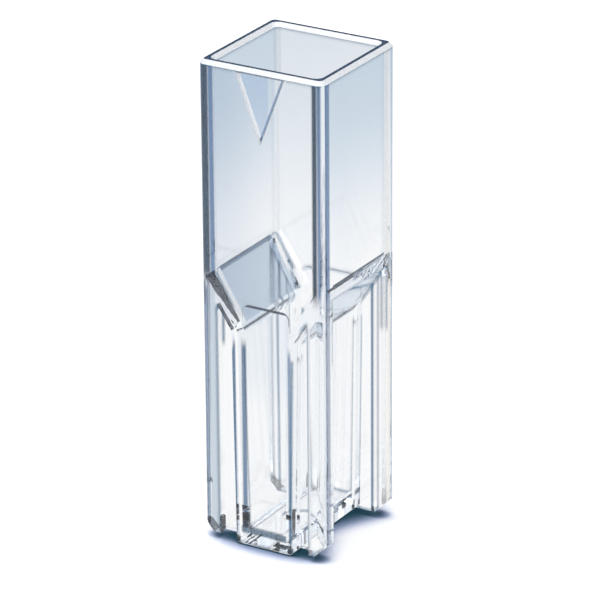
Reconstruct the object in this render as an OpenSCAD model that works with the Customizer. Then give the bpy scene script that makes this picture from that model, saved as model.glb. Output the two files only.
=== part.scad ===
// Semi-micro cuvette: a square clear tube, 12.5 mm on a side, that narrows through a funnel
// to a slim measuring chamber between two optical windows. Moulded in one piece.
// Millimetres. +Z up, Z = 0 at the foot of the chamber block, X = Y = 0 on the centre line.
// The optical windows face -Y (front, with the triangle mark) and +Y (back).

/* [Outside] */
// outside width of the square body, X and Y
side = 12.5; // [11.5:0.1:15.5]
// overall height
height = 45; // [38:0.5:56]
// radius of the four upright outside edges
corner_r = 0.75; // [0.5:0.05:1.1]
// bevel round the outside of the rim
rim_bevel = 0.35; // [0.1:0.05:0.4]
// bevel round the inside of the rim
mouth_bevel = 0.35; // [0.1:0.05:0.4]

/* [Upper tube] */
// wall thickness at the rim
rim_wall = 1.05; // [0.8:0.05:1.3]
// extra wall thickness that the mould draft gives at the height of the floor
wall_draft = 0.15; // [0:0.05:0.3]
// radius of the upright inside corners at the rim
inside_r = 0.4; // [0.35:0.05:2]

/* [Measuring chamber] */
// light path between the two windows, along Y
light_path = 10; // [8.4:0.1:12]
// inside width of the chamber where the funnel ends
chamber_top_w = 4.7; // [4:0.1:5.4]
// inside width of the chamber at its floor
chamber_floor_w = 3.7; // [3:0.1:4.4]
// thickness of the chamber's side walls where the pocket roofs end
chamber_wall_top = 0.75; // [0.6:0.05:1.1]
// thickness of the chamber's side walls at the feet
chamber_wall_foot = 0.95; // [0.75:0.05:1.3]
// height at which the funnel ends and the chamber begins
chamber_top_z = 20.9; // [17:0.1:25]
// thickness of the floor under the chamber
floor_t = 1.5; // [1:0.1:2.5]
// radius along the two long edges of the floor
floor_r = 0.5; // [0.2:0.1:1]
// slope of the funnel faces, up from the horizontal
funnel_slope = 59.3; // [50:0.5:68]
// radius of the edge where the funnel turns down into the chamber
throat_r = 1.2; // [0.4:0.1:2.5]

/* [Windows] */
// top of the window pad above the end of the funnel
window_rise = 2; // [1:0.1:2.6]
// radius of the two top corners of the window pad
window_r = 0.7; // [0.3:0.1:1.5]

/* [Side pockets] */
// thickness of the front and back plates beside the chamber
plate_t = 1.9; // [1.6:0.05:2.5]
// plastic between funnel and pocket roof, measured upright at the outer side face
roof_wall_out = 2.8; // [2:0.1:3.6]
// the same where the pocket roof meets the chamber block
roof_wall_in = 2.2; // [1.6:0.1:2.8]
// radius between the pocket roof and the chamber block
roof_r = 0.8; // [0.3:0.1:1.5]
// bevel along the upright edges of the pocket mouth
pocket_bevel = 0.35; // [0.1:0.05:0.6]

/* [Face grooves] */
// width of the corner legs, seen from the front
leg_w = 1.7; // [1.3:0.05:2.2]
// depth of the grooves between the legs and the window block
groove_depth = 0.95; // [0.5:0.05:1.2]
// how far the groove roof lies above the pocket roof
groove_lift = 0.5; // [0:0.1:1]

/* [Feet] */
// height at which the legs end, above the foot of the chamber block
leg_lift = 0.6; // [0.1:0.05:0.9]
// bevel across the outer bottom edge of the legs
foot_bevel = 1.1; // [0.6:0.1:1.6]
// bevel round the bottom edges of the chamber block
base_bevel = 0.25; // [0.1:0.05:0.5]
// radius of the sunk gate mark under the floor
gate_r = 1.3; // [0.8:0.1:1.8]
// depth of the sunk gate mark
gate_depth = 0.3; // [0.1:0.05:0.5]

/* [Mark] */
// width of the triangle mark at its top
mark_w = 4.8; // [3:0.1:6]
// height of the triangle mark
mark_h = 6.2; // [4:0.1:9]
// distance from the rim to the top of the triangle mark
mark_drop = 0.5; // [0.5:0.1:2]
// depth of the triangle mark
mark_depth = 0.3; // [0.15:0.05:0.4]

/* [Hidden] */

// how far a cutter runs past the surface it cuts
over = 1;
// how far a rounding laps over the two faces it joins, so that it leaves no sliver
lap = 0.001;
half = side / 2;

// the tube's inside half width at the rim, and at floor level after the draft
bore_half = half - rim_wall;
bore_low_half = bore_half - wall_draft;

// half widths of the chamber, inside and outside
throat_half = chamber_top_w / 2;
floor_half = chamber_floor_w / 2;
block_foot_half = floor_half + chamber_wall_foot;
block_top_half = throat_half + chamber_wall_top;

// height of the funnel face at distance x from the centre line
function funnel(x) = chamber_top_z + (x - throat_half) * tan(funnel_slope);

// the pocket roof runs below the funnel, from the outer side face down to the chamber block
roof_out_z = funnel(half) - roof_wall_out;
roof_in_z = funnel(block_top_half) - roof_wall_in;
roof_rise = (roof_out_z - roof_in_z) / (half - block_top_half);

// the windows' inner faces stand this far from the centre line
pane_half = light_path / 2;
window_top_z = chamber_top_z + window_rise;

// half width of the chamber block's outer side at height z, and how fast it grows
block_lean = (block_top_half - block_foot_half) / roof_in_z;
function block_half(z) = block_foot_half + block_lean * z;

// height of the groove roof at distance x from the centre line
function groove_roof(x) = roof_out_z + groove_lift - (half - x) * roof_rise;

// the inner edge of a leg
leg_in = half - leg_w;
// where the groove roof comes down to the chamber block
groove_in_z = groove_roof(block_foot_half) / (1 - block_lean * roof_rise);

// Unit vector from point a to point b, and the angle at which it points.
function toward(a, b) = (b - a) / norm(b - a);

// Centre of the circle of radius r that touches both edges at corner p.
function arc_centre(a, p, b, r) =
    let (u = toward(p, a), v = toward(p, b), bis = (u + v) / norm(u + v))
    p + bis * r / sin(acos(u * v) / 2);

// Distance from corner p to the point where that circle touches an edge.
function touch(a, p, b, r) =
    r / tan(acos(toward(p, a) * toward(p, b)) / 2);

// The way round the far side of the kite that the circle makes at corner p.
function kite_way(a, p, b, r) =
    let (t = touch(a, p, b, r))
    [p + toward(p, a) * t, arc_centre(a, p, b, r), p + toward(p, b) * t];

// The disc that rounds corner a-p-b by r.
module corner_disc(a, p, b, r) {
    translate(arc_centre(a, p, b, r - lap)) circle(r);
}

// What a rounding of radius r takes away from corner a-p-b.
module corner_scrap(a, p, b, r) {
    difference() {
        polygon(concat([p], kite_way(a, p, b, r - lap)));
        corner_disc(a, p, b, r);
    }
}

// A square of half width h in X and k in Y, with its corners rounded by r.
module round_square(h, k, r) {
    square([2 * h, 2 * (k - r)], center = true);
    square([2 * (h - r), 2 * k], center = true);
    for (sx = [-1, 1])
        for (sy = [-1, 1])
            translate([sx * (h - r), sy * (k - r)]) circle(r);
}

// A layer with a round-cornered square plan that grows by g on every side over its height.
module flaring_layer(h, r, g, tall) {
    straight = 2 * (h - r);
    trapezium = [[-h, 0], [h, 0], [h + g, tall], [-h - g, tall]];
    rotate([90, 0, 0])
        linear_extrude(height = straight, center = true) polygon(trapezium);
    rotate([90, 0, 90])
        linear_extrude(height = straight, center = true) polygon(trapezium);
    for (sx = [-1, 1])
        for (sy = [-1, 1])
            translate([sx * (h - r), sy * (h - r), 0]) cylinder(h = tall, r1 = r, r2 = r + g);
}

// Stands a profile drawn in X and Z upright, and runs it from y = from to y = to.
module run_y(from, to) {
    translate([0, to, 0])
        rotate([90, 0, 0])
            linear_extrude(height = to - from) children();
}

// The outside of the tube: rounded upright edges and a bevelled rim.
module blank() {
    linear_extrude(height = height - rim_bevel) round_square(half, half, corner_r);
    translate([0, 0, height - rim_bevel])
        flaring_layer(half, corner_r, -rim_bevel, rim_bevel);
}

// The tube's bore with its draft, run down to the floor, and the bevelled mouth.
module bore() {
    // what the draft still lacks where the bevel begins
    short = wall_draft * mouth_bevel / height;
    bevel_tall = mouth_bevel + over;
    flaring_layer(bore_low_half, inside_r - wall_draft, wall_draft, height);
    translate([0, 0, height - mouth_bevel])
        flaring_layer(bore_half - short, inside_r - short, bevel_tall, bevel_tall);
}

// Half of the inside seen from the front: chamber, throat, funnel and bore.
module inside_half_profile() {
    wide = half + over;
    top_z = height + over;
    centre_low = [0, floor_t];
    corner = [floor_half, floor_t];
    throat = [throat_half, chamber_top_z];
    shoulder = [wide, funnel(wide)];
    difference() {
        polygon(concat(
            [centre_low, corner],
            kite_way(corner, throat, shoulder, throat_r - lap),
            [shoulder, [wide, top_z], [0, top_z]]
        ));
        corner_disc(corner, throat, shoulder, throat_r);
        corner_scrap(centre_low, corner, throat, floor_r);
    }
}

// The whole inside seen from the front.
module inside_profile() {
    inside_half_profile();
    mirror([1, 0]) inside_half_profile();
}

// Outline of the flat windows: upright sides and a round-cornered top.
module window_outline() {
    translate([-throat_half + window_r, 0])
        square([chamber_top_w - 2 * window_r, window_top_z]);
    translate([-throat_half, 0])
        square([chamber_top_w, window_top_z - window_r]);
    for (sx = [-1, 1])
        translate([sx * (throat_half - window_r), window_top_z - window_r]) circle(window_r);
}

// All the space inside: the bore with its draft, pinched to the funnel and chamber, and flat
// at the two windows so that the light path is the same at every height.
module inside() {
    intersection() {
        run_y(-side, side) inside_profile();
        union() {
            difference() {
                bore();
                run_y(-side, side) window_outline();
            }
            run_y(-pane_half, pane_half) window_outline();
        }
    }
}

// The pocket on the +X side, seen from the front: drafted block side and sloping roof.
module pocket_profile() {
    foot = [block_half(-over), -over];
    inner = [block_top_half, roof_in_z];
    outer = [half + over, roof_out_z + over * roof_rise];
    difference() {
        polygon([foot, inner, outer, [half + over, -over]]);
        corner_scrap(foot, inner, outer, roof_r);
    }
}

// The pocket on the +X side: open at the side and at the feet.
module pocket() {
    inner_half = half - plate_t;
    intersection() {
        run_y(-side, side) pocket_profile();
        translate([0, 0, -2 * over])
            linear_extrude(height = height)
                polygon([
                    [0, -inner_half],
                    [half - pocket_bevel, -inner_half],
                    [half + over, -inner_half - pocket_bevel - over],
                    [half + over, inner_half + pocket_bevel + over],
                    [half - pocket_bevel, inner_half],
                    [0, inner_half]
                ]);
    }
}

// The groove on the front, +X side of the window: open at the feet, roof along the funnel.
module groove() {
    run_y(-half - over, -half + groove_depth)
        polygon([
            [block_half(-over), -over],
            [block_half(groove_in_z), groove_in_z],
            [leg_in, groove_roof(leg_in)],
            [leg_in, -over]
        ]);
}

// Below the +X legs: the block's bevelled edge, the gap under the legs and their outer bevel.
module foot_cut() {
    edge = block_foot_half - base_bevel;
    run_y(-side, side)
        polygon([
            [edge - over, -over],
            [edge + leg_lift, leg_lift],
            [half - foot_bevel, leg_lift],
            [half + over, leg_lift + foot_bevel + over],
            [half + over, -over]
        ]);
}

// Bevel along the bottom edge of the back face.
module base_cut() {
    rotate([0, 0, 90])
        run_y(-side, side)
            polygon([
                [half - base_bevel - over, -over],
                [half + over, -over],
                [half + over, base_bevel + over]
            ]);
}

// Triangle on the front face under the rim, point down.
module mark() {
    mark_top = height - mark_drop;
    run_y(-half - over, -half + mark_depth)
        polygon([[-mark_w / 2, mark_top], [mark_w / 2, mark_top], [0, mark_top - mark_h]]);
}

// Sunk disc under the floor, where the plastic entered the mould.
module gate_mark() {
    translate([0, 0, -over]) cylinder(h = gate_depth + over, r = gate_r);
}

module cuvette() {
    color([0.86, 0.92, 0.97, 0.35])
        difference() {
            blank();
            inside();
            pocket();
            mirror([1, 0, 0]) pocket();
            for (sx = [0, 1])
                for (sy = [0, 1])
                    mirror([sx, 0, 0]) mirror([0, sy, 0]) groove();
            foot_cut();
            mirror([1, 0, 0]) foot_cut();
            base_cut();
            mirror([0, 1, 0]) base_cut();
            mark();
            gate_mark();
        }
}

cuvette();
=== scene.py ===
import math
from types import SimpleNamespace

import bpy
from mathutils import Matrix, Vector

# sockets of the Mix node when it mixes colours
MIX_LOW = 6
MIX_HIGH = 7
MIX_RESULT = 2

# ---- camera: the photograph's viewing angle -------------------------------------------------
CAMERA_AZIMUTH = math.radians(31.0)
CAMERA_ELEVATION = math.radians(22.7)
CAMERA_ROLL = math.radians(-0.42)
CAMERA_DISTANCE = 0.3947
CAMERA_LENS = 270.0
SENSOR_WIDTH = 36.0
CLIP_START = 0.01
CLIP_END = 20
# the point that the middle of the picture looks at: on the centre line, and slid in the
# picture's plane
LOOK_HEIGHT = 0.0225
SLIDE_RIGHT = 0.00013
SLIDE_UP = -0.00071

# ---- stage ----------------------------------------------------------------------------------
FLOOR_HALF = 3.0
FLOOR_DROP = 0.00003
FLOOR_WHITE = (0.97, 0.97, 0.97)
# the sheet falls off to this colour away from the object, for every ray but the camera's own
FLOOR_FAR = (0.72, 0.77, 0.83)
BRIGHT_CENTRE = (-0.012, 0.022)
BRIGHT_RADIUS = 0.035
DARK_RADIUS = 0.15
FLOOR_GLOW = 0.35
# the contact shadow, and its colour by how open the floor is: 0 is under the foot
CONTACT_REACH = 0.004
CONTACT_SAMPLES = 16
CONTACT = (
    (0.0, (0.010, 0.045, 0.060)),
    (0.38, (0.025, 0.070, 0.105)),
    (0.55, (0.24, 0.30, 0.46)),
    (0.70, (0.76, 0.79, 0.90)),
    (0.82, (0.97, 0.97, 0.97)),
)
KEY_PLACE = (-0.12, -0.08, 0.6)
KEY_SIZE = 0.6
KEY_POWER = 2.1
FILL_PLACE = (0.28, -0.45, 0.35)
FILL_SIZE = 0.4
FILL_POWER = 1.3
WORLD_LIGHT = 0.5
WORLD_TINT = (0.93, 0.96, 1.0)
# what clear plastic sees around the stage, from the horizon up
SURROUND = (
    (0.0, (0.60, 0.67, 0.76)),
    (0.35, (0.86, 0.90, 0.95)),
    (0.70, (1.0, 1.0, 1.0)),
)
# Two dark panels stand behind it, a low one and a taller one to the right. Each has the way it
# lies, where its sides fade in, and where its top fades out.
DARK_PANELS = (
    ((-0.515, 0.857, 0.0), (0.55, 0.75), (0.395, 0.375)),
    ((0.530, 0.848, 0.0), (0.72, 0.80), (0.446, 0.432)),
)
PANEL_COLOUR = (0.004, 0.008, 0.016)

# ---- what the plastic's detail follows on the part, in metres --------------------------------
# The outline, rim, throat, funnel slope and mark are the part's sizes. The funnel's half width
# and top, the roofs, the foot, the leg and the mark's half width and foot are limits near them.
HALF = 0.00625
HEIGHT = 0.045
RIM_BEVEL = 0.00035
THROAT_HALF = 0.00235
THROAT_Z = 0.0209
FUNNEL_RISE = math.tan(math.radians(59.3))
FUNNEL_HALF = 0.0042
FUNNEL_TOP_Z = 0.02575
ROOF_OUT_Z = 0.0247
ROOF_LOW_Z = 0.0150
MARK_HALF = 0.0025
MARK_FOOT_Z = 0.0382
MARK_TOP_Z = 0.0445
MARK_DEPTH = 0.0003
MARK_TALL = 0.0062
MARK_TOP_HALF = 0.0024
MARK_SPREAD = MARK_TOP_HALF / MARK_TALL
FOOT_TOP_Z = 0.0019
LEG_IN = 0.0045

# ---- plastic --------------------------------------------------------------------------------
MAX_BOUNCES = 64
CLEAR_BOUNCES = 48
PLASTIC_IOR = 1.59
ABSORB_COLOUR = (0.52, 0.68, 0.86)
ABSORB_DENSITY = 15.0
FLOW_SCALE = (900.0, 900.0, 60.0)
FLOW_DETAIL = 2
FLOW_STRENGTH = 0.3
FLOW_DEPTH = 0.00001

# the plastic's own tint, then painted shade, painted highlights and painted dark lines, down to the
# darkest lines
PLASTIC_TINT = (0.99, 0.995, 1.0)
# frosted white of the mark's flanks and the rim's bevels, there partly a painted highlight, and
# painted highlights along the mark's left side and down the +X upright corners
FROST_AND_HIGHLIGHT_COLOUR = (0.96, 0.965, 0.97)
# painted shade on the upper front and back walls
FACE_SHADE = (0.93, 0.95, 0.965)
ROOF_COLOUR = (0.90, 0.93, 0.96)
CREAM_COLOUR = (1.0, 0.94, 0.87)
PAD_SHADE = (0.78, 0.84, 0.90)
# painted shade on the upper side walls, darker than on the front and back
SIDE_SHADE = (0.72, 0.80, 0.87)
LEFT_SHADE = (0.66, 0.72, 0.80)
MARK_SHADE = (0.58, 0.68, 0.84)
FUNNEL_COLOUR = (0.42, 0.54, 0.69)
CREAM_LINE_COLOUR = (0.40, 0.52, 0.66)
LEG_FACE_COLOUR = (0.38, 0.48, 0.60)
BAND_COLOUR = (0.16, 0.24, 0.36)
LEG_COLOUR = (0.10, 0.16, 0.28)
LINE_COLOUR = (0.10, 0.17, 0.32)
PALE_COLOUR = (0.04, 0.09, 0.21)
BLOCK_COLOUR = (0.035, 0.075, 0.16)
FLOOR_LINE_COLOUR = (0.03, 0.055, 0.09)
FOOT_COLOUR = (0.02, 0.04, 0.08)
RIM_COLOUR = (0.012, 0.04, 0.10)
STRIP_COLOUR = (0.006, 0.013, 0.025)
PAD_COLOUR = (0.002, 0.006, 0.02)
EDGE_COLOUR = (0.0, 0.015, 0.06)
BLACK_COLOUR = (0.0, 0.012, 0.035)

# how clear a painted or frosted place stays, and how much rougher it is
FROST_AND_HIGHLIGHT_CLEAR = 0.25
CREAM_CLEAR = 0.8
BAND_CLEAR = 0.45
RIM_CLEAR = 0.4
BLACK_CLEAR = 0.12
WHITE_CLEAR = 0.4
FUNNEL_ROUGH = 0.12
RIM_ROUGH = 0.25
MATT_ROUGH = 0.5
FACE_ROUGH = 0.06
FLOW_ROUGH = 0.03

# Where the painted shade, painted highlights and painted dark lines lie. A pair in a step is (where
# the mask is 0, where it is 1), and a pair in a band is its two sides. "Faces" pairs are the
# normal's share along one axis.
FACES = (0.6, 0.8)
FACES_SLOPE = (0.35, 0.7)
SLOPE_SOFT = 0.03
OUTER = (HALF - 0.0002, HALF - 0.0001)
LINE_SOFT = 0.00008
FINE_SOFT = 0.00003
WALL_HIGH = (0.026, 0.041)
ABOVE_ROOF = (ROOF_OUT_Z - 0.001, ROOF_OUT_Z + 0.001)
UNDER_ROOF = (ROOF_OUT_Z, ROOF_OUT_Z - 0.001)
OVER_FOOT = (0.0008, 0.0016)

# painted dark lines along sharp edges
EDGE_RADIUS = 0.0006
EDGE_SAMPLES = 4
EDGE_INSIDE = 0.25
EDGE_TURN = (0.006, 0.09)
THROAT_QUIET = (THROAT_Z - 0.002, THROAT_Z + 0.0015)
THROAT_QUIET_SOFT = 0.0002
THROAT_QUIET_SIDE = (0.0040, 0.0036)
GROOVE_QUIET_TOP = (0.0190, 0.0180)
GROOVE_IN = (0.0026, 0.0033)
GROOVE_IN_DEPTH = (0.0056, 0.0055)
GROOVE_FLOOR = (0.0026, 0.0049)
GROOVE_FLOOR_DEPTH = (0.0050, 0.0056)
LEG_QUIET = (0.0055, 0.0056)
LEG_QUIET_DEPTH = (0.0050, 0.0049)
QUIET_SOFT = 0.00005

# painted shade: dark and pale strips where the tube's walls are seen end on beside each upright
# corner, painted dark lines and a painted warm highlight on the sides, painted shade on the front's
# left, and a painted highlight on the +X upright corners; left is -X
STRIP_SOFT = 0.00012
LEFT_DARK = (0.0001 - HALF, 0.0011 - HALF)
LEFT_PALE = (0.0011 - HALF, 0.0016 - HALF)
RIGHT_DARK = (HALF - 0.0011, HALF - 0.0006)
RIGHT_PALE = (HALF - 0.0006, HALF - 0.0002)
SIDE_STRIP = (0.0003 - HALF, 0.0011 - HALF)
SIDE_STRIP_HIGH = (ROOF_OUT_Z - 0.003, ROOF_OUT_Z + 0.001)
LEG_STRIP = 0.8
# a painted warm highlight on the sides near the back edge, with painted dark lines along it
CREAM = (HALF - 0.00205, HALF - 0.0009)
CREAM_LINES = (
    (HALF - 0.00215, HALF - 0.00205),
    (HALF - 0.0009, HALF - 0.00065),
)
# a painted dark line on the sides at the height of the funnel's top
SIDE_LINE = (0.02587, 0.02607)
SIDE_LINE_SOFT = 0.00004
SIDE_LINE_END = (0.0048, 0.0046)
FRONT_SKIN = (-HALF + 0.0005, -HALF + 0.0004)
SHADE_ACROSS = (0.0025, -0.0045)
SHADE_FOOT = (0.021, 0.0225)
# the painted highlight down the rounding of the two +X upright corners
CORNER_FACES = (0.70, 0.92)
CORNER_SOFT = 0.015
CORNER_UPRIGHT = (0.1, 0.05)
CORNER_NEAR = (HALF - 0.0008, HALF - 0.0007)
RIGHT_HALF = (0, 0.001)
LEFT_HALF = (0, -0.001)

# the mark: at its place, painted shade on its floor, and a painted highlight and a painted shade
# line along its two sloping sides
MARK_SIDE = (MARK_HALF + 2e-4, MARK_HALF + 1e-4)
MARK_LOW = (MARK_FOOT_Z - 4e-4, MARK_FOOT_Z - 3e-4)
MARK_HIGH = (MARK_TOP_Z + 1e-4, MARK_TOP_Z)
MARK_FACES = (0.7, 0.8)
MARK_SUNK = (-HALF + 1e-4, -HALF + 2e-4)
FLANK_FACES = (0.7, 0.5)
FLANK_SUNK = (-HALF + MARK_DEPTH, -HALF + MARK_DEPTH - 1e-5)
MARK_SHADED = (0.0008, 0.0006)
LINE_WHITE = (0, 0.00026)
LINE_DARK = (0, 0.00032)

# the rim: bevels frosted white and partly a painted highlight, and the flat between them painted
# dark as shade
BEVEL_HIGH = (HEIGHT - RIM_BEVEL - 2e-5, HEIGHT - RIM_BEVEL)
BEVEL_FACES = (0.4, 0.95)
BEVEL_SOFT = 0.02
RIM_HIGH = (HEIGHT - 2e-5, HEIGHT - 1e-5)
RIM_FACES = (0.95, 0.98)

# painted shade on the funnel, a painted dark line along its top edge, and painted shade on the roofs
# of the pockets and grooves
ON_FUNNEL = (0.0004, 0.0002)
OFF_FUNNEL = (0.0004, 0.0006)
FUNNEL_SIDE = (FUNNEL_HALF + 2e-4, FUNNEL_HALF)
BAND_HIGH = (FUNNEL_TOP_Z - 0.0005, FUNNEL_TOP_Z + 0.0002)
BAND_TILT = (0.1, 0.2)
BAND_IN = (0.004, 0.0045)
BAND_OUT = (HALF - 0.0008, HALF - 0.0009)
ROOF_LOW = (ROOF_LOW_Z, ROOF_LOW_Z + 0.001)
ROOF_HIGH = (HEIGHT - 0.010, HEIGHT - 0.012)
FRONT_GROOVES = (0.00105 - HALF, 0.00095 - HALF)

# the feet of the legs and of the chamber block, painted dark as shade
FOOT_FACES = (0.4, 0.6)
FOOT_HIGH = (FOOT_TOP_Z, FOOT_TOP_Z - 2e-4)
FOOT_IN = (LEG_IN - 1e-4, LEG_IN)
LEG_FOOT_TILT = (0.5, 0.85)
LEG_FOOT_SOFT = 0.02
LEG_FOOT_FACES = (0.5, 0.6)
LEG_FOOT_HIGH = (0.0022, 0.0020)
LEG_FOOT_IN = (0.0050, 0.0051)
BLOCK_FOOT_HIGH = (0.0009, 0.0006)
BLOCK_CORNER = (0.0024, 0.0029)
BLOCK_CORNER_SOFT = 0.0001
BLOCK_CORNER_DEPTH = (0.0058, 0.0060)

# painted shade: dark strips where the chamber block and the legs are seen end on through the front,
# and painted dark lines on the legs and along the chamber floor's edge
BLOCK_TOP = (0.0203, 0.0190)
BLOCK_INNER = (-0.00212, -0.0016)
BLOCK_INNER_SOFT = 0.00012
BLOCK_OUTER = (-0.0030, -0.00272)
BLOCK_OUTER_SOFT = 0.00006
BLOCK_RIGHT = (0.00258, 0.0029)
LEG_FACE = (-0.0054, -0.00472)
LEG_WALL = (0.00545, 0.0061)
LEG_SOFT = 0.0001
LEG_LINE_DEPTH = (0.0043, 0.0044)
LEG_LINE_NEAR = (0.0048, 0.00508)
LEG_LINE_FAR = (0.0054, 0.00566)
LEG_LINE_FAINT = 0.7
FLOOR_LINE = (0.00125, 0.0019)
FLOOR_LINE_SOFT = 0.0001
FLOOR_LINE_SIDE = (0.0024, 0.0022)

# the front window pad with painted shade, a painted dark line along its arch-shaped edge, and the
# ledge over it, painted dark as shade
PAD_FACE = (-0.00505, -0.00495)
PAD_FACE_SOFT = 0.00001
PAD_SIDE = (0.0023, 0.0022)
PAD_FADE = (0.0125, 0.0175)
PAD_TOP_SIDE = (0.0022, 0.0021)
PAD_TOP = (0.02268, 0.0231)
PAD_TOP_SOFT = 0.00004
LEDGE_DEPTH = (-HALF + 0.00112, -HALF + 0.00125)
LEDGE_SOFT = 0.000005
LEDGE_FACES = (0.5, 0.3)
LEDGE_SIDE = (0.0026, 0.0025)
LEDGE_LOW = (0.0215, 0.0219)
LEDGE_HIGH = (0.0233, 0.0231)


def node(tree, kind, **values):
    made = tree.nodes.new(kind)
    for key, value in values.items():
        setattr(made, key, value)
    return made


def new_material(name):
    made = bpy.data.materials.new(name)
    made.use_nodes = True
    made.node_tree.nodes.clear()
    return made, made.node_tree


def maths(tree, operation, a, b=None, clamp=False):
    made = node(tree, "ShaderNodeMath", operation=operation, use_clamp=clamp)
    for place, value in enumerate((a, b)):
        if value is None:
            continue
        if isinstance(value, (int, float)):
            made.inputs[place].default_value = value
        else:
            tree.links.new(value, made.inputs[place])
    return made.outputs[0]


def step(tree, value, low, high):
    """0 at low and 1 at high, which may be the smaller of the two."""
    made = node(tree, "ShaderNodeMapRange", interpolation_type="SMOOTHSTEP")
    made.inputs["From Min"].default_value = min(low, high)
    made.inputs["From Max"].default_value = max(low, high)
    if low > high:
        made.inputs["To Min"].default_value = 1
        made.inputs["To Max"].default_value = 0
    tree.links.new(value, made.inputs["Value"])
    return made.outputs["Result"]


def both(tree, *masks):
    """The product of masks or numbers."""
    product = masks[0]
    for mask in masks[1:]:
        product = maths(tree, "MULTIPLY", product, mask)
    return product


def band(tree, value, low, high, soft):
    """1 from low to high, fading over soft to each side of both."""
    return both(tree, step(tree, value, low - soft, low + soft),
                step(tree, value, high + soft, high - soft))


def steps(tree, *limits):
    """The product of steps, each given as (value, low, high)."""
    return both(tree, *(step(tree, *limit) for limit in limits))


def add(tree, *masks):
    """The sum of masks, at most 1."""
    total = masks[0]
    for mask in masks[1:]:
        total = maths(tree, "ADD", total, mask, clamp=True)
    return total


def largest(tree, *masks):
    most = masks[0]
    for mask in masks[1:]:
        most = maths(tree, "MAXIMUM", most, mask)
    return most


def but(tree, mask):
    """Where the mask is not."""
    return maths(tree, "SUBTRACT", 1, mask)


def blend(tree, mask, low, high):
    """Colour low where the mask is 0 and high where it is 1."""
    made = node(tree, "ShaderNodeMix", data_type="RGBA")
    for place, value in ((MIX_LOW, low), (MIX_HIGH, high)):
        if isinstance(value, tuple):
            made.inputs[place].default_value = (*value, 1)
        else:
            tree.links.new(value, made.inputs[place])
    tree.links.new(mask, made.inputs[0])
    return made.outputs[MIX_RESULT]


def ramp(tree, value, stops):
    made = node(tree, "ShaderNodeValToRGB")
    first, last = made.color_ramp.elements
    first.position, first.color = stops[0][0], (*stops[0][1], 1)
    last.position, last.color = stops[-1][0], (*stops[-1][1], 1)
    for place, colour in stops[1:-1]:
        made.color_ramp.elements.new(place).color = (*colour, 1)
    tree.links.new(value, made.inputs[0])
    return made.outputs[0]


def make_camera():
    sa, ca = math.sin(CAMERA_AZIMUTH), math.cos(CAMERA_AZIMUTH)
    se, ce = math.sin(CAMERA_ELEVATION), math.cos(CAMERA_ELEVATION)
    forward = Vector((-sa * ce, ca * ce, -se))
    right = Vector((ca, sa, 0.0))
    up = right.cross(forward)
    target = Vector((0, 0, LOOK_HEIGHT))
    roll = Matrix.Rotation(-CAMERA_ROLL, 3, forward)
    right, up = roll @ right, roll @ up
    target += right * SLIDE_RIGHT + up * SLIDE_UP
    data = bpy.data.cameras.new("camera")
    data.lens = CAMERA_LENS
    data.sensor_width = SENSOR_WIDTH
    data.clip_start = CLIP_START
    data.clip_end = CLIP_END
    obj = bpy.data.objects.new("camera", data)
    bpy.context.scene.collection.objects.link(obj)
    turn = Matrix((right, up, -forward)).transposed()
    obj.matrix_world = Matrix.Translation(target - forward * CAMERA_DISTANCE) @ turn.to_4x4()
    bpy.context.scene.camera = obj


def glass_ray(tree, path):
    """1 for the rays that glossy and clear surfaces send out."""
    return add(tree, path.outputs["Is Glossy Ray"], path.outputs["Is Transmission Ray"])


def make_floor():
    mesh = bpy.data.meshes.new("floor")
    signs = ((-1, -1), (1, -1), (1, 1), (-1, 1))
    corners = [(FLOOR_HALF * x, FLOOR_HALF * y, -FLOOR_DROP) for x, y in signs]
    mesh.from_pydata(corners, [], [(0, 1, 2, 3)])
    obj = bpy.data.objects.new("floor", mesh)
    bpy.context.scene.collection.objects.link(obj)
    material, tree = new_material("floor_paper")
    link = tree.links.new
    geometry = node(tree, "ShaderNodeNewGeometry")
    path = node(tree, "ShaderNodeLightPath")
    seen = path.outputs["Is Camera Ray"]

    # falls off away from the object, for every ray but the camera's own
    away = node(tree, "ShaderNodeVectorMath", operation="DISTANCE")
    away.inputs[1].default_value = (*BRIGHT_CENTRE, 0)
    link(geometry.outputs["Position"], away.inputs[0])
    fade = both(tree, step(tree, away.outputs["Value"], BRIGHT_RADIUS, DARK_RADIUS), but(tree, seen))
    sheet = blend(tree, fade, FLOOR_WHITE, FLOOR_FAR)

    # contact shadow close to the foot, as the camera sees it
    near = node(tree, "ShaderNodeAmbientOcclusion", samples=CONTACT_SAMPLES)
    near.inputs["Distance"].default_value = CONTACT_REACH
    shade = ramp(tree, near.outputs["AO"], CONTACT)
    sheet = blend(tree, seen, sheet, shade)

    diffuse = node(tree, "ShaderNodeBsdfDiffuse")
    link(sheet, diffuse.inputs["Color"])
    glow = node(tree, "ShaderNodeEmission")
    link(sheet, glow.inputs["Color"])
    link(maths(tree, "MULTIPLY", seen, FLOOR_GLOW), glow.inputs["Strength"])
    lit = node(tree, "ShaderNodeAddShader")
    link(diffuse.outputs[0], lit.inputs[0])
    link(glow.outputs[0], lit.inputs[1])
    through = node(tree, "ShaderNodeEmission")
    through.inputs["Strength"].default_value = 1
    link(sheet, through.inputs["Color"])
    final = node(tree, "ShaderNodeMixShader")
    link(glass_ray(tree, path), final.inputs[0])
    link(lit.outputs[0], final.inputs[1])
    link(through.outputs[0], final.inputs[2])
    out = node(tree, "ShaderNodeOutputMaterial")
    link(final.outputs[0], out.inputs["Surface"])
    mesh.materials.append(material)


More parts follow.
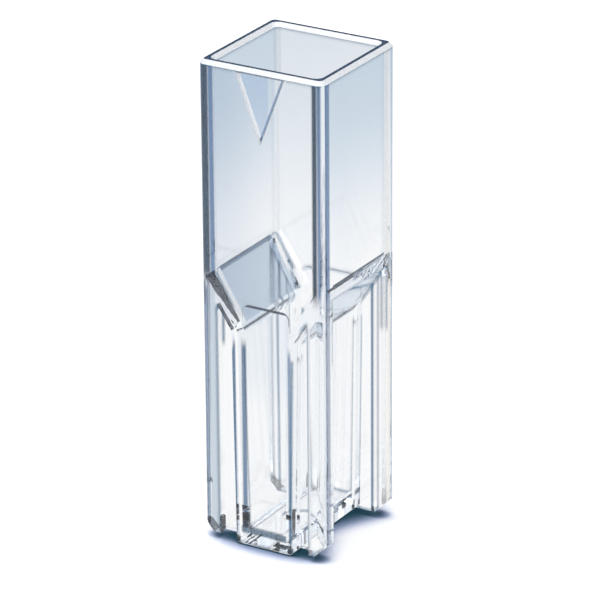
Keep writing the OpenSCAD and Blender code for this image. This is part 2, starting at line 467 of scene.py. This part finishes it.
def make_world():
    world = bpy.data.worlds.new("studio")
    world.use_nodes = True
    tree = world.node_tree
    tree.nodes.clear()
    link = tree.links.new
    light = node(tree, "ShaderNodeBackground")
    light.inputs["Color"].default_value = (*WORLD_TINT, 1)
    light.inputs["Strength"].default_value = WORLD_LIGHT
    seen = node(tree, "ShaderNodeBackground")
    seen.inputs["Color"].default_value = (1, 1, 1, 1)
    seen.inputs["Strength"].default_value = 1
    coords = node(tree, "ShaderNodeTexCoord")
    split = node(tree, "ShaderNodeSeparateXYZ")
    link(coords.outputs["Generated"], split.inputs[0])
    ring = ramp(tree, split.outputs["Z"], SURROUND)
    for way, sides, top in DARK_PANELS:
        toward = node(tree, "ShaderNodeVectorMath", operation="DOT_PRODUCT")
        toward.inputs[1].default_value = way
        link(coords.outputs["Generated"], toward.inputs[0])
        panel = steps(tree, (toward.outputs["Value"], *sides), (split.outputs["Z"], *top))
        ring = blend(tree, panel, ring, PANEL_COLOUR)
    around = node(tree, "ShaderNodeBackground")
    link(ring, around.inputs["Color"])
    path = node(tree, "ShaderNodeLightPath")
    mix = node(tree, "ShaderNodeMixShader")
    link(glass_ray(tree, path), mix.inputs[0])
    link(light.outputs[0], mix.inputs[1])
    link(around.outputs[0], mix.inputs[2])
    final = node(tree, "ShaderNodeMixShader")
    link(path.outputs["Is Camera Ray"], final.inputs[0])
    link(mix.outputs[0], final.inputs[1])
    link(seen.outputs[0], final.inputs[2])
    out = node(tree, "ShaderNodeOutputWorld")
    link(final.outputs[0], out.inputs["Surface"])
    bpy.context.scene.world = world


def make_lamp(name, place, size, power):
    data = bpy.data.lights.new(name, "AREA")
    data.shape = "SQUARE"
    data.size = size
    data.energy = power
    obj = bpy.data.objects.new(name, data)
    bpy.context.scene.collection.objects.link(obj)
    place = Vector(place)
    turn = (-place).to_track_quat("-Z", "Y").to_matrix().to_4x4()
    obj.matrix_world = Matrix.Translation(place) @ turn


def read_place(tree):
    """Where on the part a point of its surface is, and which way it faces.

    x and y are distances from the middle, along (X) and across (Y) are signed, and nx, ny and nz
    are the normal's shares. outside and inside tell from which side the surface is looked at, and
    front and side are the outermost faces at -Y and +Y, and at -X and +X.
    """
    geometry = node(tree, "ShaderNodeNewGeometry")
    coords = node(tree, "ShaderNodeTexCoord")
    place = node(tree, "ShaderNodeSeparateXYZ")
    tree.links.new(coords.outputs["Object"], place.inputs[0])
    facing = node(tree, "ShaderNodeSeparateXYZ")
    tree.links.new(geometry.outputs["Normal"], facing.inputs[0])
    at = SimpleNamespace(
        point=coords.outputs["Object"], normal=geometry.outputs["Normal"],
        along=place.outputs["X"], across=place.outputs["Y"], z=place.outputs["Z"],
        inside=geometry.outputs["Backfacing"])
    at.x, at.y = (maths(tree, "ABSOLUTE", place.outputs[axis]) for axis in "XY")
    at.nx, at.ny, at.nz = (maths(tree, "ABSOLUTE", facing.outputs[axis]) for axis in "XYZ")
    at.outside = but(tree, at.inside)
    at.front = both(tree, steps(tree, (at.ny, *FACES), (at.y, *OUTER)), at.outside)
    at.side = both(tree, steps(tree, (at.nx, *FACES), (at.x, *OUTER)), at.outside)
    return at


def mark_masks(tree, at):
    """The mark's place, its frosted flanks, painted shade on its floor, and the lines along its two
    sides: a painted highlight on the left and a painted shade line on the right.
    """
    at_mark = steps(tree, (at.across, *FRONT_SKIN), (at.x, *MARK_SIDE), (at.z, *MARK_LOW),
                    (at.z, *MARK_HIGH))
    sunk = both(tree, at_mark, steps(tree, (at.ny, *MARK_FACES), (at.across, *MARK_SUNK)))
    # half the mark's width at this height
    spread = both(tree, maths(tree, "SUBTRACT", at.z, MARK_TOP_Z - MARK_TALL), MARK_SPREAD)
    from_left = maths(tree, "ADD", at.along, spread)
    from_right = maths(tree, "SUBTRACT", spread, at.along)
    return SimpleNamespace(
        place=at_mark,
        flank=both(tree, at_mark, steps(tree, (at.ny, *FLANK_FACES), (at.across, *FLANK_SUNK))),
        floor=both(tree, sunk, step(tree, at.along, *MARK_SHADED), at.outside),
        white=both(tree, sunk, band(tree, from_left, *LINE_WHITE, FINE_SOFT), at.outside),
        dark=both(tree, sunk, band(tree, from_right, *LINE_DARK, FINE_SOFT), at.outside))


def edge_mask(tree, at, mark):
    """Painted dark lines along sharp edges, where one looks the long way through the plastic."""
    bevel = node(tree, "ShaderNodeBevel", samples=EDGE_SAMPLES)
    bevel.inputs["Radius"].default_value = EDGE_RADIUS
    dot = node(tree, "ShaderNodeVectorMath", operation="DOT_PRODUCT")
    tree.links.new(at.normal, dot.inputs[0])
    tree.links.new(bevel.outputs[0], dot.inputs[1])
    turn = but(tree, maths(tree, "ABSOLUTE", dot.outputs["Value"]))
    at_throat = both(tree, band(tree, at.z, *THROAT_QUIET, THROAT_QUIET_SOFT),
                     step(tree, at.x, *THROAT_QUIET_SIDE))
    # the hollow corners of the grooves and pockets carry no line
    groove_in = both(tree, band(tree, at.x, *GROOVE_IN, QUIET_SOFT),
                     step(tree, at.y, *GROOVE_IN_DEPTH))
    groove_floor = both(tree, band(tree, at.x, *GROOVE_FLOOR, QUIET_SOFT),
                        band(tree, at.y, *GROOVE_FLOOR_DEPTH, QUIET_SOFT))
    leg = steps(tree, (at.x, *LEG_QUIET), (at.y, *LEG_QUIET_DEPTH))
    hollow = both(tree, step(tree, at.z, *GROOVE_QUIET_TOP),
                  largest(tree, groove_in, groove_floor, leg))
    return both(tree, step(tree, turn, *EDGE_TURN), but(tree, mark.place),
                largest(tree, at.outside, EDGE_INSIDE), but(tree, largest(tree, at_throat, hollow)))


def tube_masks(tree, at):
    """Painted shade and highlights on the tube: dark strips where its walls are seen end on beside
    the upright corners, painted shade on its upper walls and on the front's left, painted dark lines
    and a painted warm highlight on its sides, and a painted highlight on the +X upright corners.
    """
    # painted shade: dark and pale strips on the front and back beside the upright corners
    dark, pale = (
        both(tree, at.front, step(tree, at.z, *ABOVE_ROOF),
             add(tree, *(band(tree, at.along, *place, STRIP_SOFT) for place in places)))
        for places in ((LEFT_DARK, RIGHT_DARK), (LEFT_PALE, RIGHT_PALE)))
    # painted shade: a strip on the sides beside the front edge, fainter lower down
    side_strip = both(tree, at.side, band(tree, at.across, *SIDE_STRIP, STRIP_SOFT),
                      largest(tree, step(tree, at.z, *SIDE_STRIP_HIGH), LEG_STRIP))
    # painted dark lines along the painted warm highlight on the sides
    cream_line = add(tree, *(band(tree, at.across, *place, STRIP_SOFT / 2)
                             for place in CREAM_LINES))
    # painted highlight down the rounding of the two +X upright corners
    corner = both(tree, band(tree, at.nx, *CORNER_FACES, CORNER_SOFT),
                  steps(tree, (at.nz, *CORNER_UPRIGHT), (at.x, *CORNER_NEAR),
                        (at.y, *CORNER_NEAR), (at.along, *RIGHT_HALF)), at.outside)
    shade = both(tree, steps(tree, (at.across, *FRONT_SKIN), (at.ny, *FACES),
                             (at.along, *SHADE_ACROSS), (at.z, *SHADE_FOOT)), at.outside)
    return SimpleNamespace(
        dark=dark, pale=add(tree, pale, side_strip), corner=corner, shade=shade,
        # painted warm highlight on the sides near the back edge
        cream=both(tree, at.side, band(tree, at.across, *CREAM, STRIP_SOFT)),
        cream_line=both(tree, at.side, cream_line),
        # painted dark line on the sides at the height of the funnel's top
        side_line=both(tree, at.side, band(tree, at.z, *SIDE_LINE, SIDE_LINE_SOFT),
                       step(tree, at.y, *SIDE_LINE_END)),
        # painted shade on the upper walls, darker on the sides than on the front and back
        side=steps(tree, (at.nx, *FACES), (at.z, *WALL_HIGH)),
        face=steps(tree, (at.ny, *FACES), (at.z, *WALL_HIGH)))


def rim_masks(tree, at):
    """The rim's two bevels, frosted white and partly a painted highlight, and the flat between them,
    painted dark as shade.
    """
    bevelled = both(tree, step(tree, at.z, *BEVEL_HIGH),
                    band(tree, at.nz, *BEVEL_FACES, BEVEL_SOFT))
    return bevelled, steps(tree, (at.z, *RIM_HIGH), (at.nz, *RIM_FACES))


def slope_masks(tree, at):
    """Painted shade on the funnel inside, a painted dark line along its top edge, and painted shade
    on the roofs of the pockets and grooves.
    """
    sloping = band(tree, at.nz, *FACES_SLOPE, SLOPE_SOFT)
    rise = both(tree, maths(tree, "SUBTRACT", at.x, THROAT_HALF), FUNNEL_RISE)
    height = maths(tree, "SUBTRACT", maths(tree, "SUBTRACT", at.z, THROAT_Z), rise)
    above = maths(tree, "ABSOLUTE", height)
    funnel = both(tree, sloping, steps(tree, (above, *ON_FUNNEL), (at.y, *FUNNEL_SIDE)))
    top_band = both(tree, band(tree, at.z, *BAND_HIGH, LINE_SOFT),
                    steps(tree, (at.nz, *BAND_TILT), (at.y, *FUNNEL_SIDE), (at.x, *BAND_IN),
                          (at.x, *BAND_OUT)))
    roof = both(tree, sloping,
                steps(tree, (above, *OFF_FUNNEL), (at.z, *ROOF_LOW), (at.z, *ROOF_HIGH)))
    return funnel, top_band, roof


def black_mask(tree, at, roof):
    """Painted shade at the darkest places: two groove roofs, the feet's bevels and corners, and the
    ledge.
    """
    groove_roof = both(tree, roof, step(tree, at.across, *FRONT_GROOVES), at.inside)
    leg_foot = both(tree, band(tree, at.nz, *LEG_FOOT_TILT, LEG_FOOT_SOFT),
                    steps(tree, (at.nx, *LEG_FOOT_FACES), (at.z, *LEG_FOOT_HIGH),
                          (at.x, *LEG_FOOT_IN)), at.inside)
    block_corner = both(tree, band(tree, at.x, *BLOCK_CORNER, BLOCK_CORNER_SOFT),
                        steps(tree, (at.z, *BLOCK_FOOT_HIGH), (at.y, *BLOCK_CORNER_DEPTH)))
    ledge = both(tree, band(tree, at.across, *LEDGE_DEPTH, LEDGE_SOFT),
                 steps(tree, (at.ny, *LEDGE_FACES), (at.x, *LEDGE_SIDE), (at.z, *LEDGE_LOW),
                       (at.z, *LEDGE_HIGH)))
    return add(tree, groove_roof, leg_foot, block_corner, ledge)


def block_masks(tree, at):
    """Painted shade where the walls of the chamber block and the legs are seen end on through the
    front, painted dark lines on the legs and along the chamber floor's edge, and painted shade on
    the pad with a painted dark line along its top.
    """
    on_block = both(tree, at.front, steps(tree, (at.z, *OVER_FOOT), (at.z, *BLOCK_TOP)))
    leg_high = steps(tree, (at.z, *UNDER_ROOF), (at.z, *OVER_FOOT))
    pad_face = both(tree, band(tree, at.across, *PAD_FACE, PAD_FACE_SOFT),
                    step(tree, at.ny, *FACES))
    leg_line = add(tree, band(tree, at.x, *LEG_LINE_NEAR, LINE_SOFT),
                   both(tree, band(tree, at.x, *LEG_LINE_FAR, LINE_SOFT), LEG_LINE_FAINT))
    return SimpleNamespace(
        wall=both(tree, on_block,
                  add(tree, band(tree, at.along, *BLOCK_INNER, BLOCK_INNER_SOFT),
                      band(tree, at.along, *BLOCK_OUTER, BLOCK_OUTER_SOFT))),
        right=both(tree, on_block, band(tree, at.along, *BLOCK_RIGHT, LINE_SOFT)),
        leg_face=both(tree, at.front, leg_high, band(tree, at.along, *LEG_FACE, LEG_SOFT)),
        leg_wall=both(tree, at.front, leg_high, band(tree, at.x, *LEG_WALL, LEG_SOFT),
                      step(tree, at.along, *LEFT_HALF)),
        leg_lines=both(tree, at.outside, leg_line, step(tree, at.ny, *FACES),
                       band(tree, at.y, *LEG_LINE_DEPTH, FINE_SOFT),
                       step(tree, at.z, *UNDER_ROOF)),
        floor_line=both(tree, at.front, step(tree, at.x, *FLOOR_LINE_SIDE),
                        band(tree, at.z, *FLOOR_LINE, FLOOR_LINE_SOFT)),
        pad=both(tree, pad_face, steps(tree, (at.x, *PAD_SIDE), (at.z, *PAD_FADE))),
        pad_top=both(tree, pad_face, step(tree, at.x, *PAD_TOP_SIDE),
                     band(tree, at.z, *PAD_TOP, PAD_TOP_SOFT)))


def make_flow(tree, at):
    """Faint upright flow lines from the moulding: the noise and the bump made from it."""
    flow_place = node(tree, "ShaderNodeVectorMath", operation="MULTIPLY")
    flow_place.inputs[1].default_value = FLOW_SCALE
    tree.links.new(at.point, flow_place.inputs[0])
    flow = node(tree, "ShaderNodeTexNoise")
    flow.inputs["Scale"].default_value = 1
    flow.inputs["Detail"].default_value = FLOW_DETAIL
    tree.links.new(flow_place.outputs[0], flow.inputs["Vector"])
    bump = node(tree, "ShaderNodeBump")
    bump.inputs["Strength"].default_value = FLOW_STRENGTH
    bump.inputs["Distance"].default_value = FLOW_DEPTH
    tree.links.new(flow.outputs["Fac"], bump.inputs["Height"])
    return flow.outputs["Fac"], bump.outputs[0]


def make_plastic():
    material, tree = new_material("clear_polystyrene")
    link = tree.links.new
    at = read_place(tree)
    mark = mark_masks(tree, at)
    tube = tube_masks(tree, at)
    block = block_masks(tree, at)
    bevelled, rim = rim_masks(tree, at)
    funnel, top_band, roof = slope_masks(tree, at)
    black = black_mask(tree, at, roof)
    edge = edge_mask(tree, at, mark)
    # painted shade: the legs' level faces near the floor dark
    foot = steps(tree, (at.nz, *FOOT_FACES), (at.z, *FOOT_HIGH), (at.x, *FOOT_IN))
    # the mark's frosted flanks and the rim's frosted bevels, partly a painted highlight, and a
    # painted highlight line along the mark's left side
    frost_and_highlight = add(tree, mark.flank, bevelled, mark.white)
    flow, bump = make_flow(tree, at)

    # each tint, whether frosted white, painted shade, a painted highlight or a painted dark line,
    # covers the ones before it
    colour = PLASTIC_TINT
    for mask, tint in (
            (tube.side, SIDE_SHADE), (tube.face, FACE_SHADE), (tube.shade, LEFT_SHADE),
            (mark.floor, MARK_SHADE), (funnel, FUNNEL_COLOUR), (roof, ROOF_COLOUR),
            (foot, FOOT_COLOUR), (tube.dark, STRIP_COLOUR), (tube.pale, PALE_COLOUR),
            (block.wall, BLOCK_COLOUR), (block.leg_wall, LEG_COLOUR), (block.right, LEG_COLOUR),
            (block.leg_face, LEG_FACE_COLOUR), (block.leg_lines, BLOCK_COLOUR),
            (tube.side_line, STRIP_COLOUR), (block.floor_line, FLOOR_LINE_COLOUR),
            (tube.cream_line, CREAM_LINE_COLOUR), (tube.cream, CREAM_COLOUR),
            (top_band, BAND_COLOUR), (rim, RIM_COLOUR), (edge, EDGE_COLOUR),
            (block.pad, PAD_SHADE), (block.pad_top, PAD_COLOUR), (frost_and_highlight, FROST_AND_HIGHLIGHT_COLOUR),
            (mark.dark, LINE_COLOUR), (black, BLACK_COLOUR), (tube.corner, FROST_AND_HIGHLIGHT_COLOUR)):
        colour = blend(tree, mask, colour, tint)

    rough = both(tree, flow, at.outside, FLOW_ROUGH)
    haze = both(tree, tube.face, at.outside, but(tree, mark.place))
    for mask, amount in (
            (both(tree, funnel, at.outside), FUNNEL_ROUGH), (rim, RIM_ROUGH),
            (frost_and_highlight, MATT_ROUGH), (haze, FACE_ROUGH)):
        rough = maths(tree, "ADD", rough, both(tree, mask, amount))

    clear = but(tree, both(tree, frost_and_highlight, 1 - FROST_AND_HIGHLIGHT_CLEAR))
    for mask, left in (
            (tube.cream, CREAM_CLEAR), (top_band, BAND_CLEAR), (rim, RIM_CLEAR),
            (black, BLACK_CLEAR), (tube.corner, WHITE_CLEAR)):
        clear = both(tree, clear, but(tree, both(tree, mask, 1 - left)))

    shader = node(tree, "ShaderNodeBsdfPrincipled")
    shader.inputs["IOR"].default_value = PLASTIC_IOR
    link(bump, shader.inputs["Normal"])
    link(colour, shader.inputs["Base Color"])
    link(rough, shader.inputs["Roughness"])
    link(clear, shader.inputs["Transmission Weight"])
    absorb = node(tree, "ShaderNodeVolumeAbsorption")
    absorb.inputs["Color"].default_value = (*ABSORB_COLOUR, 1)
    absorb.inputs["Density"].default_value = ABSORB_DENSITY
    out = node(tree, "ShaderNodeOutputMaterial")
    link(shader.outputs[0], out.inputs["Surface"])
    link(absorb.outputs[0], out.inputs["Volume"])
    return material


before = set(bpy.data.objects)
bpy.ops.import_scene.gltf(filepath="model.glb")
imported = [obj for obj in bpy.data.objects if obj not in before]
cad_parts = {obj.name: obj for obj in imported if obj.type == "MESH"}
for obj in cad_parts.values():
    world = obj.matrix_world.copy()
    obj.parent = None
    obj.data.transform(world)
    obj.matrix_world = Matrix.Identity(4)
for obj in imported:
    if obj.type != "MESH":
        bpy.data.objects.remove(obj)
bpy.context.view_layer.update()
make_camera()
make_floor()
make_world()
make_lamp("key", KEY_PLACE, KEY_SIZE, KEY_POWER)
make_lamp("fill", FILL_PLACE, FILL_SIZE, FILL_POWER)

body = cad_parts["cuvette"]
plastic = make_plastic()
for slot in body.material_slots:
    slot.material = plastic

scene = bpy.context.scene
scene.view_settings.view_transform = "Standard"
scene.cycles.max_bounces = MAX_BOUNCES
scene.cycles.glossy_bounces = CLEAR_BOUNCES
scene.cycles.transmission_bounces = CLEAR_BOUNCES
